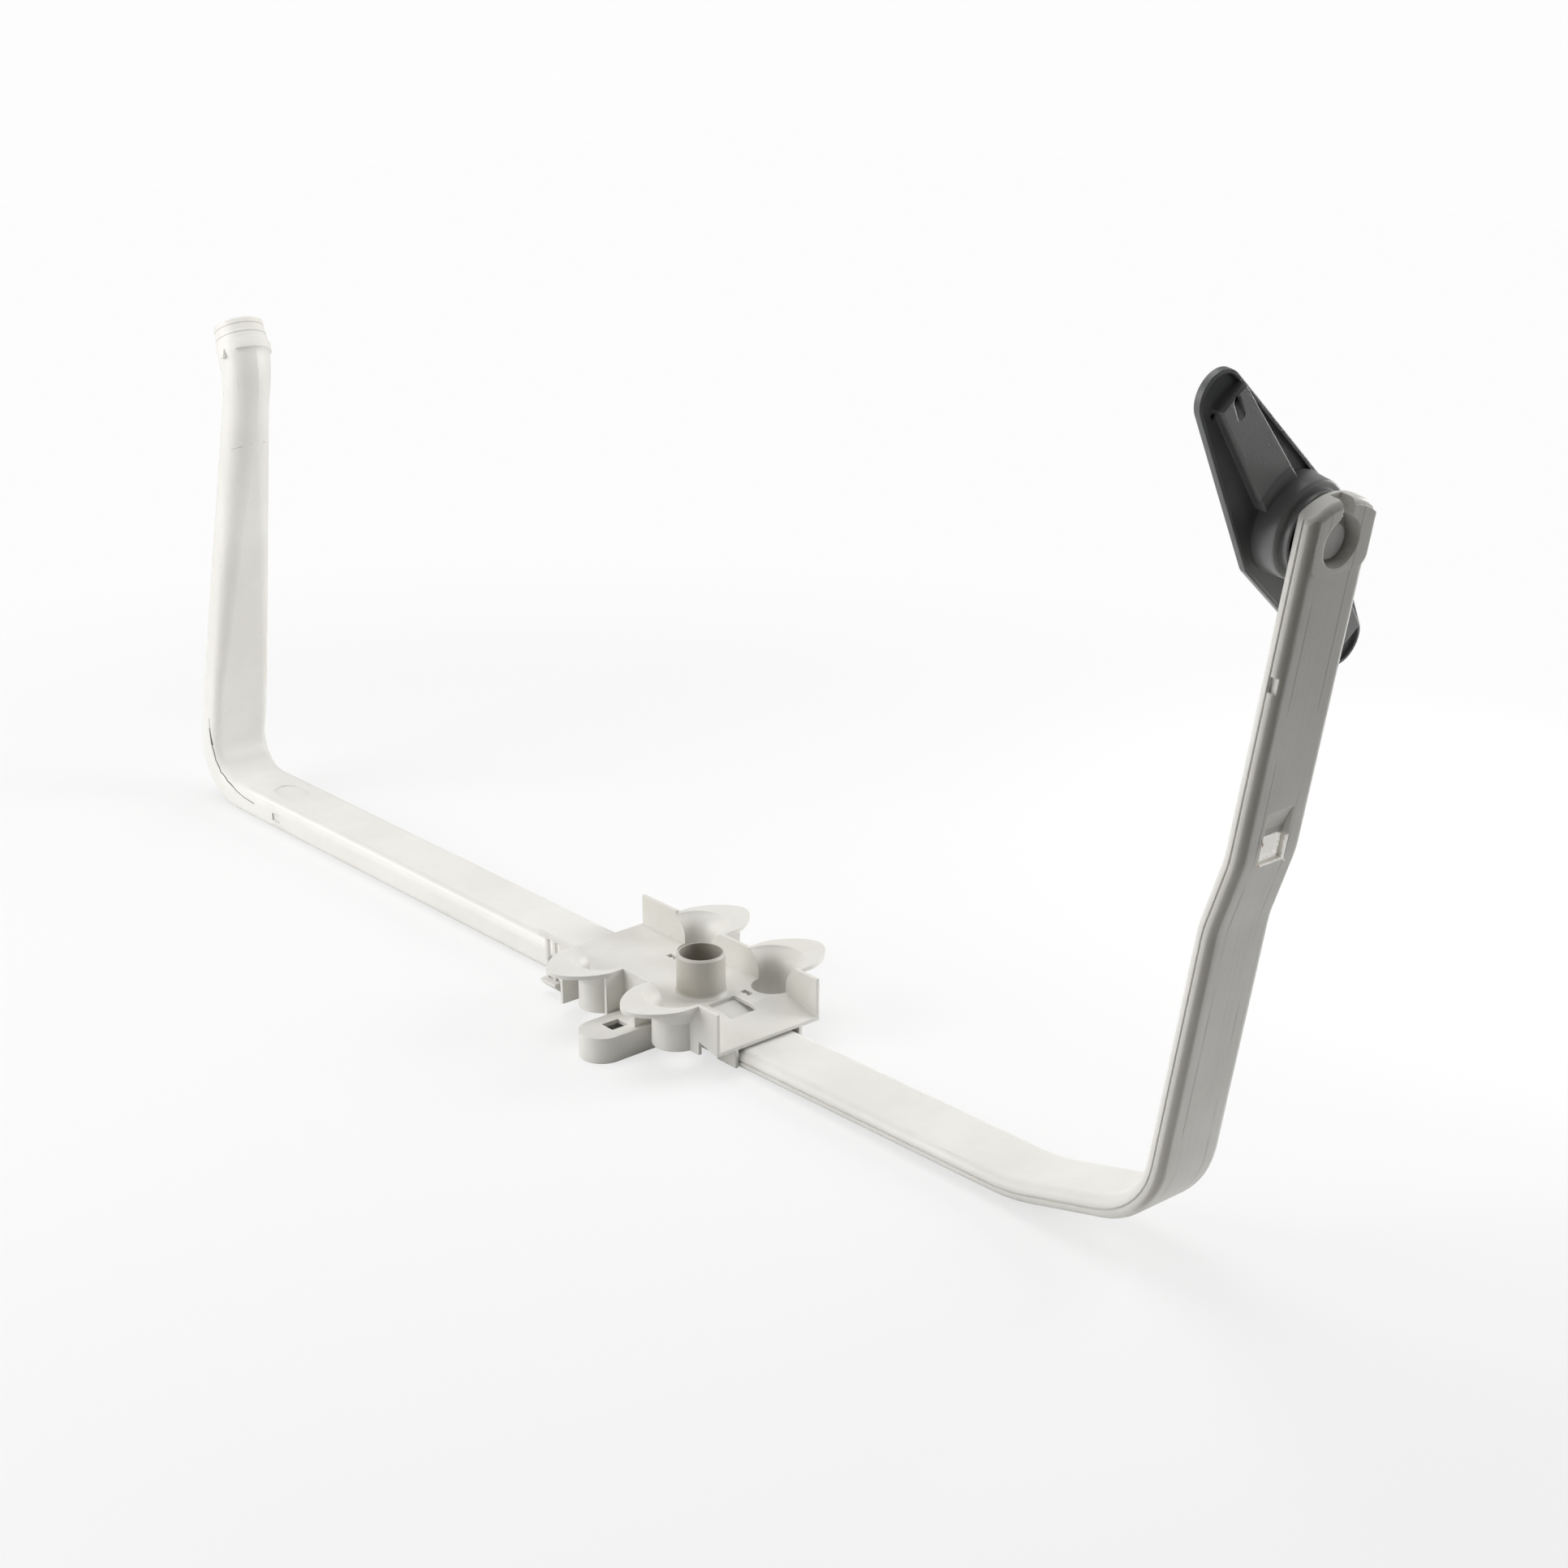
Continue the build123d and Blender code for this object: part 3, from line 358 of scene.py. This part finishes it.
# The split in the seam: a dark uneven line with a wider mouth, on the near side alone, in millimetres
split_dark = (0.05, 0.045, 0.04, 1)
split_points = [
    (-349.0, 0, 26.0), (-349.4, 0, 22.2), (-349.0, 0, 16.9), (-348.8, 0, 11.6), (-346.8, 0, 5.45),
    (-343.0, 0, 0.55), (-337.0, 0, -2.65), (-328.0, 0, -4.8), (-321.1, 0, -6.2), (-312.6, 0, -6.8),
]
split_width = (0.32 * mm, 0.1 * mm)
mouth_points = [(-349.4, 0, 21.0), (-348.9, 0, 13.0)]
mouth_width = (0.6 * mm, 0.3 * mm)
near_side = (-11.5 * mm, -12.8 * mm)
split_wobble = 0.3 * mm
noise_middle = (0.5, 0.5, 0.5)
wobble = vector_calc(tree, "SUBTRACT", noise(tree, place, scale=260.0), noise_middle)
uneven = vector_calc(tree, "ADD", place, scaled(tree, wobble, split_wobble))
side_on = stretched(tree, uneven, (1, 0, 1))
split = fade(tree, distance_to_line(tree, side_on, split_points), *split_width)
mouth = fade(tree, distance_to_line(tree, side_on, mouth_points), *mouth_width)
open_seam = product(tree, calc(tree, "MAXIMUM", split, mouth), fade(tree, across, *near_side))
colour = tint(tree, open_seam, colour, split_dark)

rough = between(tree, tube_skin["Cloud"], *tube_roughness)
scored = calc(tree, "MULTIPLY", tube_skin["Scores"], tube_score_depth)
height = calc(tree, "SUBTRACT", tube_skin["Grain"], scored)
shader = finish_plastic(tree, colour, rough, height, tube_grain_depth, soft_edges(tree, tube_edge_round))
shader.inputs["Subsurface Weight"].default_value = tube_light_share
shader.inputs["Subsurface Radius"].default_value = tube_light_colours
shader.inputs["Subsurface Scale"].default_value = tube_light_depth
dress("feed_tube", tube_plastic)

# Torn edge of the opening in the leaning arm. The floor of the recess was cut out with a blade, which left a
# ragged white lip round the hole. A thin sheet across the hole stands for the lit wall inside the tube; the
# sheet and the lip both glow weakly, as painted light. Its upper end lies on the recess, has the tube's
# colour and no glow.
cut_centre = Vector((276.13, 0, 145.10)) * mm
cut_length = 10.5 * mm
cut_width = 10.0 * mm
sheet_margin = 1.1
sheet_cells = 40
sheet_thick = 0.3 * mm
sheet_top = 3.1 * mm
sheet_lift = 0.2 * mm
hole_share = 0.4
rim_share = 0.5
tear_length = 0.8 * mm
tear_lift = 0.9 * mm
tear_lift_outside = 0.3
tear_smoothing = 0.25
chance = random.Random(7)
lip_mesh = bmesh.new()
bmesh.ops.create_grid(lip_mesh, x_segments=sheet_cells, y_segments=sheet_cells, size=0.5)
bmesh.ops.scale(lip_mesh, vec=(cut_length * sheet_margin, cut_width * sheet_margin, 1), verts=lip_mesh.verts)
for v in lip_mesh.verts:
    outward = Vector((v.co.x / cut_length, v.co.y / cut_width, 0))
    share = max(abs(outward.x), abs(outward.y))
    if v.co.x > sheet_top:
        v.co.z = sheet_lift
    elif share < hole_share:
        v.co.z -= sheet_thick
    else:
        v.co -= outward.normalized() * chance.random() ** 2 * tear_length
        v.co.z += sheet_lift + chance.random() * tear_lift * (1 if share < rim_share else tear_lift_outside)
bmesh.ops.smooth_vert(
    lip_mesh, verts=lip_mesh.verts, factor=tear_smoothing, use_axis_x=True, use_axis_y=True, use_axis_z=True)

# Shreds of the lip along the left and lower rims: a root on the rim, and tips of uneven length
lip_height = 2.45 * mm
shred_lift = 0.3 * mm
shred_overlap = 0.02 * mm
left_shreds = 26
left_root = -6.2 * mm
left_start = -5.7 * mm
left_pitch = 0.34 * mm
left_shortest = 0.5 * mm
left_spread = 0.9 * mm
low_shreds = 24
low_root = -5.8 * mm
low_start = -5.8 * mm
low_pitch = 0.47 * mm
low_shortest = 0.3 * mm
low_spread = 0.6 * mm


def shred(corners):
    """One torn shred of the lip, its corners at uneven heights."""
    lip_mesh.faces.new(
        [lip_mesh.verts.new((x, y, lip_height + chance.random() * shred_lift)) for x, y in corners])


for step in range(left_shreds):
    low = left_start + step * left_pitch
    high = low + left_pitch + shred_overlap
    tips = [left_root + left_shortest + chance.random() * left_spread for i in range(2)]
    shred([(low, left_root), (high, left_root), (high, tips[1]), (low, tips[0])])
for step in range(low_shreds):
    left = low_start + step * low_pitch
    right = left + low_pitch + shred_overlap
    tips = [low_root + low_shortest + chance.random() * low_spread for i in range(2)]
    shred([(low_root, left), (tips[0], left), (tips[1], right), (low_root, right)])

# Flakes that stand up from the corners: place along and across the arm, length, and turn in radians
flakes = [
    (3.3 * mm, 5.9 * mm, 2.0 * mm, 0.9),
    (2.9 * mm, 5.6 * mm, 1.3 * mm, 2.4),
    (-5.6 * mm, -5.8 * mm, 1.4 * mm, 3.9),
    (-5.5 * mm, 5.0 * mm, 1.0 * mm, 5.2),
]
flake_half_width = 0.4 * mm
flake_lift = 0.8 * mm
for x, y, length, turn in flakes:
    foot = Vector((x, y, lip_height))
    ahead = Vector((math.cos(turn), math.sin(turn), 0))
    aside = Vector((-ahead.y, ahead.x, 0)) * flake_half_width
    tip = foot + ahead * length + Vector((0, 0, flake_lift))
    lip_mesh.faces.new([lip_mesh.verts.new(p) for p in (foot + aside, foot - aside, tip)])
extruded = bmesh.ops.extrude_face_region(lip_mesh, geom=lip_mesh.faces[:])["geom"]
underside = [v for v in extruded if isinstance(v, bmesh.types.BMVert)]
bmesh.ops.translate(lip_mesh, vec=(0, 0, -sheet_thick), verts=underside)
lip_turn = Matrix((arm_up, arm_out.cross(arm_up), arm_out)).transposed().to_4x4()
bmesh.ops.transform(lip_mesh, matrix=Matrix.Translation(cut_centre) @ lip_turn, verts=lip_mesh.verts)
bmesh.ops.recalc_face_normals(lip_mesh, faces=lip_mesh.faces)
torn_lip = bpy.data.objects.new("torn_lip", bpy.data.meshes.new("torn_lip"))
lip_mesh.to_mesh(torn_lip.data)
lip_mesh.free()
bpy.context.scene.collection.objects.link(torn_lip)

torn_white = (0.90, 0.89, 0.86, 1)
burnt_pink = (0.42, 0.25, 0.19, 1)
no_glow = (0, 0, 0, 1)
torn_glow = 0.35
torn_roughness = 0.7
torn_edge_round = 0.2 * mm
torn_grain_depth = 0.2 * mm
burnt_side = (-5.0 * mm, -5.4 * mm)
burnt_patches = (0.32, 0.44)
recess_start = (3.0 * mm, 3.4 * mm)
recess_wobble = 0.6 * mm
torn_plastic, tree = new_material("torn_plastic")
place, torn_skin = skin(tree, cloud_scale=400.0, grain_scale=3000.0)
along, across, up = axes_of(tree, place)
burnt = product(
    tree, fade(tree, across, *burnt_side), fade(tree, noise(tree, place, scale=500.0), *burnt_patches))
colour = tint(tree, burnt, torn_white, burnt_pink)
above_cut = vector_calc(tree, "DOT_PRODUCT", vector_calc(tree, "SUBTRACT", place, cut_centre), arm_up)
wobble = calc(tree, "MULTIPLY", noise(tree, place, scale=900.0), recess_wobble)
on_recess = fade(tree, calc(tree, "ADD", above_cut, wobble), *recess_start)
colour = tint(tree, on_recess, colour, tube_white)
edge_normal = soft_edges(tree, torn_edge_round)
shader = finish_plastic(tree, colour, torn_roughness, torn_skin["Grain"], torn_grain_depth, edge_normal)
# Painted light: the sheet and the torn lip glow weakly, all but the end on the recess
tree.links.new(tint(tree, on_recess, colour, no_glow), shader.inputs["Emission Color"])
shader.inputs["Emission Strength"].default_value = torn_glow
torn_lip.data.materials.append(torn_plastic)
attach(torn_lip, "tube")

# Docking bracket. Injection-moulded in an off-white plastic, a shade greyer and warmer than the tube, with
# sharp thin walls and small rounds on every edge. It clips over the tube, and its spigot plugs into it. The
# spigot is painted darker as painted shade, its bore darker still, and the edges carry a painted highlight.
bracket_grey = (0.735, 0.725, 0.685, 1)
bracket_cloud = (0.685, 0.67, 0.62, 1)
bracket_stain_and_shade = (0.30, 0.27, 0.22, 1)
bracket_edge_highlight = (0.88, 0.875, 0.85, 1)
bracket_roughness = (0.34, 0.44)
bracket_edge_round = 0.5 * mm
bracket_grain_depth = 0.04 * mm
spigot_outside = (10.5 * mm, 9.9 * mm)
spigot_bore = (9.1 * mm, 8.7 * mm)
edge_turn = (0.985, 0.86)


def edge_highlight(tree, edge_normal):
    """Mask that is 1 along the edges, where the softened normal leaves the face's own; it places a painted
    highlight.
    """
    normal = tree.nodes.new("ShaderNodeNewGeometry").outputs["Normal"]
    return fade(tree, vector_calc(tree, "DOT_PRODUCT", edge_normal, normal), *edge_turn)


bracket_plastic, tree = new_material("bracket_plastic")
place, bracket_skin = skin(tree, cloud_scale=34.0, grain_scale=3200.0)
edge_normal = soft_edges(tree, bracket_edge_round)
colour = tint(tree, bracket_skin["Cloud"], bracket_grey, bracket_cloud)
colour = laid(tree, colour, bracket_stain_and_shade, bracket_skin["Specks"], strength=0.5)
# Painted shade: the spigot darker, and its bore darker still
from_spigot = vector_calc(tree, "LENGTH", stretched(tree, place, (1, 1, 0)))
colour = laid(tree, colour, bracket_stain_and_shade, fade(tree, from_spigot, *spigot_outside), strength=0.45)
colour = laid(tree, colour, bracket_stain_and_shade, fade(tree, from_spigot, *spigot_bore), strength=0.6)
# Painted highlight along the edges
colour = laid(tree, colour, bracket_edge_highlight, edge_highlight(tree, edge_normal), strength=0.6)
rough = between(tree, bracket_skin["Cloud"], *bracket_roughness)
finish_plastic(tree, colour, rough, bracket_skin["Grain"], bracket_grain_depth, edge_normal)
dress("docking_bracket", bracket_plastic)

# Spray arm. Two dark grey mouldings welded round their edge. The raised edges carry a painted highlight, the
# top of the channel is painted paler as painted light beside the shaded recessed flats, and the bell is
# painted paler. Lime has dried in specks on the flats.
spray_grey = (0.115, 0.120, 0.120, 1)
spray_cloud = (0.145, 0.150, 0.147, 1)
spray_scratch_and_highlight = (0.24, 0.245, 0.24, 1)
spray_pale = (0.27, 0.275, 0.27, 1)
spray_lime = (0.5, 0.5, 0.48, 1)
spray_roughness = (0.3, 0.42)
spray_edge_round = 0.6 * mm
spray_grain_depth = 0.06 * mm
spray_score_depth = 0.6
channel_level = (-15.2 * mm, -13.8 * mm)
channel_start = (24.0 * mm, 25.8 * mm)
bell_level = (-16.2 * mm, -15.0 * mm)
bell_reach = (25.0 * mm, 23.6 * mm)
spray_plastic, tree = new_material("spray_plastic")
place, spray_skin = skin(tree, cloud_scale=46.0, grain_scale=2400.0)
edge_normal = soft_edges(tree, spray_edge_round)
colour = tint(tree, spray_skin["Cloud"], spray_grey, spray_cloud)
from_hub = vector_calc(tree, "SUBTRACT", place, Vector(spray_spin["pos_m"]))
hub_distance = vector_calc(tree, "LENGTH", from_hub)
level = vector_calc(tree, "DOT_PRODUCT", from_hub, arm_out)
# Painted light: the top of the channel paler than the recessed flats beside it
lit_channel_top = product(tree, fade(tree, level, *channel_level), fade(tree, hub_distance, *channel_start))
colour = tint(tree, lit_channel_top, colour, spray_pale)
# The bell, painted paler
bell = product(tree, fade(tree, level, *bell_level), fade(tree, hub_distance, *bell_reach))
colour = laid(tree, colour, spray_pale, bell, strength=0.6)
colour = laid(tree, colour, spray_lime, spray_skin["Specks"], strength=0.6)
# Scratches paler, then a painted highlight along the edges
colour = laid(tree, colour, spray_scratch_and_highlight, spray_skin["Scores"], strength=0.25)
colour = laid(tree, colour, spray_scratch_and_highlight, edge_highlight(tree, edge_normal), strength=0.4)
rough = between(tree, spray_skin["Cloud"], *spray_roughness)
scored = calc(tree, "MULTIPLY", spray_skin["Scores"], spray_score_depth)
height = calc(tree, "SUBTRACT", spray_skin["Grain"], scored)
finish_plastic(tree, colour, rough, height, spray_grain_depth, edge_normal)
dress("spray_arm_top", spray_plastic)
dress("spray_arm_base", spray_plastic)

# Axle. A headed pin of pale grey plastic, pushed through the arm's end. Its flat head shows at the bottom of
# the keyhole pocket.
axle_grey = (0.86, 0.855, 0.845, 1)
axle_cloud = (0.80, 0.795, 0.78, 1)
axle_roughness = (0.4, 0.5)
axle_edge_round = 0.6 * mm
axle_grain_depth = 0.04 * mm
axle_plastic, tree = new_material("axle_plastic")
place, axle_skin = skin(tree, cloud_scale=120.0, grain_scale=3000.0)
colour = tint(tree, axle_skin["Cloud"], axle_grey, axle_cloud)
rough = between(tree, axle_skin["Cloud"], *axle_roughness)
finish_plastic(tree, colour, rough, axle_skin["Grain"], axle_grain_depth, soft_edges(tree, axle_edge_round))
dress("hub_axle", axle_plastic)

# Table. A white board that ends to the right of the object. The camera sees it nearly burnt out to white, and
# a little less so round the object, where the contact shadows lie.
table_height = cad_box[0].z
table_half_size = (1.3, 1.6)
table_centre = (-0.80, 0.3)
table_tone = (0.8, 0.8, 0.795, 1)
table_roughness = 0.8
table_sheen = 0.1
glow_white = (0.98, 0.98, 0.98, 1)
glow_share = (0.68, 1.0)
glow_oval = (0.85, 1.0, 0.0)
glow_reach = (0.32, 0.62)
table_mesh = bmesh.new()
bmesh.ops.create_grid(table_mesh, x_segments=2, y_segments=2, size=1)
bmesh.ops.scale(table_mesh, vec=(*table_half_size, 1), verts=table_mesh.verts)
bmesh.ops.translate(table_mesh, vec=(*table_centre, table_height), verts=table_mesh.verts)
table = bpy.data.objects.new("table", bpy.data.meshes.new("table"))
table_mesh.to_mesh(table.data)
table_mesh.free()
bpy.context.scene.collection.objects.link(table)
table_white, tree = new_material("table_white")
shader = tree.nodes["Principled BSDF"]
shader.inputs["Base Color"].default_value = table_tone
shader.inputs["Roughness"].default_value = table_roughness
shader.inputs["Specular IOR Level"].default_value = table_sheen
place = tree.nodes.new("ShaderNodeTexCoord").outputs["Object"]
away = fade(tree, vector_calc(tree, "LENGTH", stretched(tree, place, glow_oval)), *glow_reach)
glow = tree.nodes.new("ShaderNodeEmission")
glow.inputs["Color"].default_value = glow_white
seen = tree.nodes.new("ShaderNodeLightPath").outputs["Is Camera Ray"]
blend = tree.nodes.new("ShaderNodeMixShader")
tree.links.new(product(tree, between(tree, away, *glow_share), seen), blend.inputs["Fac"])
tree.links.new(shader.outputs[0], blend.inputs[1])
tree.links.new(glow.outputs[0], blend.inputs[2])
tree.links.new(blend.outputs[0], tree.nodes["Material Output"].inputs["Surface"])
table.data.materials.append(table_white)

# Lamps and room. Soft boxes above and behind, a large white screen at the left and a dimmer one at the right,
# in a room that is bright on the left and dim on the right. The camera sees plain white behind the object.
bright_side = Vector((-0.8, 0.2, 0.5)).normalized()
bright_turn = (-0.6, 0.7)
room_strength = (0.03, 0.45)
room_white = (1, 1, 1, 1)
backdrop_white = (0.985, 0.985, 0.985, 1)


def soft_box(name, place, target, width, height, power):
    """A rectangular area lamp that points at the target."""
    lamp = bpy.data.lights.new(name, "AREA")
    lamp.shape = "RECTANGLE"
    lamp.size = width
    lamp.size_y = height
    lamp.energy = power
    stand = bpy.data.objects.new(name, lamp)
    stand.location = place
    stand.rotation_euler = (Vector(target) - Vector(place)).to_track_quat("-Z", "Y").to_euler()
    bpy.context.scene.collection.objects.link(stand)


soft_box("box_above", (-0.25, 0.05, 0.85), (-0.1, 0.0, 0.0), width=0.6, height=0.6, power=3.4)
soft_box("box_behind", (0.25, 0.6, 0.24), (-0.35, 0.0, 0.12), width=0.4, height=0.4, power=3.5)
soft_box("screen_left", (-0.55, -0.9, 0.45), (-0.2, 0.0, 0.08), width=0.8, height=0.7, power=8.2)
soft_box("screen_right", (1.2, 1.0, 0.55), (0.28, 0.0, 0.15), width=0.8, height=0.8, power=3.0)

room = bpy.data.worlds.new("room")
bpy.context.scene.world = room
room.use_nodes = True
tree = room.node_tree
walls = tree.nodes["Background"]
walls.inputs["Color"].default_value = room_white
direction = tree.nodes.new("ShaderNodeTexCoord").outputs["Generated"]
brightness = fade(tree, vector_calc(tree, "DOT_PRODUCT", direction, bright_side), *bright_turn)
tree.links.new(between(tree, brightness, *room_strength), walls.inputs["Strength"])
backdrop = tree.nodes.new("ShaderNodeBackground")
backdrop.inputs["Color"].default_value = backdrop_white
pick = tree.nodes.new("ShaderNodeMixShader")
tree.links.new(tree.nodes.new("ShaderNodeLightPath").outputs["Is Camera Ray"], pick.inputs["Fac"])
tree.links.new(walls.outputs[0], pick.inputs[1])
tree.links.new(backdrop.outputs[0], pick.inputs[2])
tree.links.new(pick.outputs[0], tree.nodes["World Output"].inputs["Surface"])

# Camera, at the eye of the photograph. Its place, direction and focal length were solved from the straight
# edges and rims of the object.
eye_place = (0.78693, -0.64383, 0.46574)
eye_direction = Vector((-0.7058, 0.6164, -0.3491))
sensor_width_mm = 36
focal_length_mm = 64.77
lens = bpy.data.cameras.new("eye")
lens.sensor_width = sensor_width_mm
lens.lens = focal_length_mm
eye = bpy.data.objects.new("eye", lens)
eye.location = eye_place
eye.rotation_euler = eye_direction.to_track_quat("-Z", "Y").to_euler()
bpy.context.scene.collection.objects.link(eye)
bpy.context.scene.camera = eye
bpy.context.scene.view_settings.view_transform = "Standard"
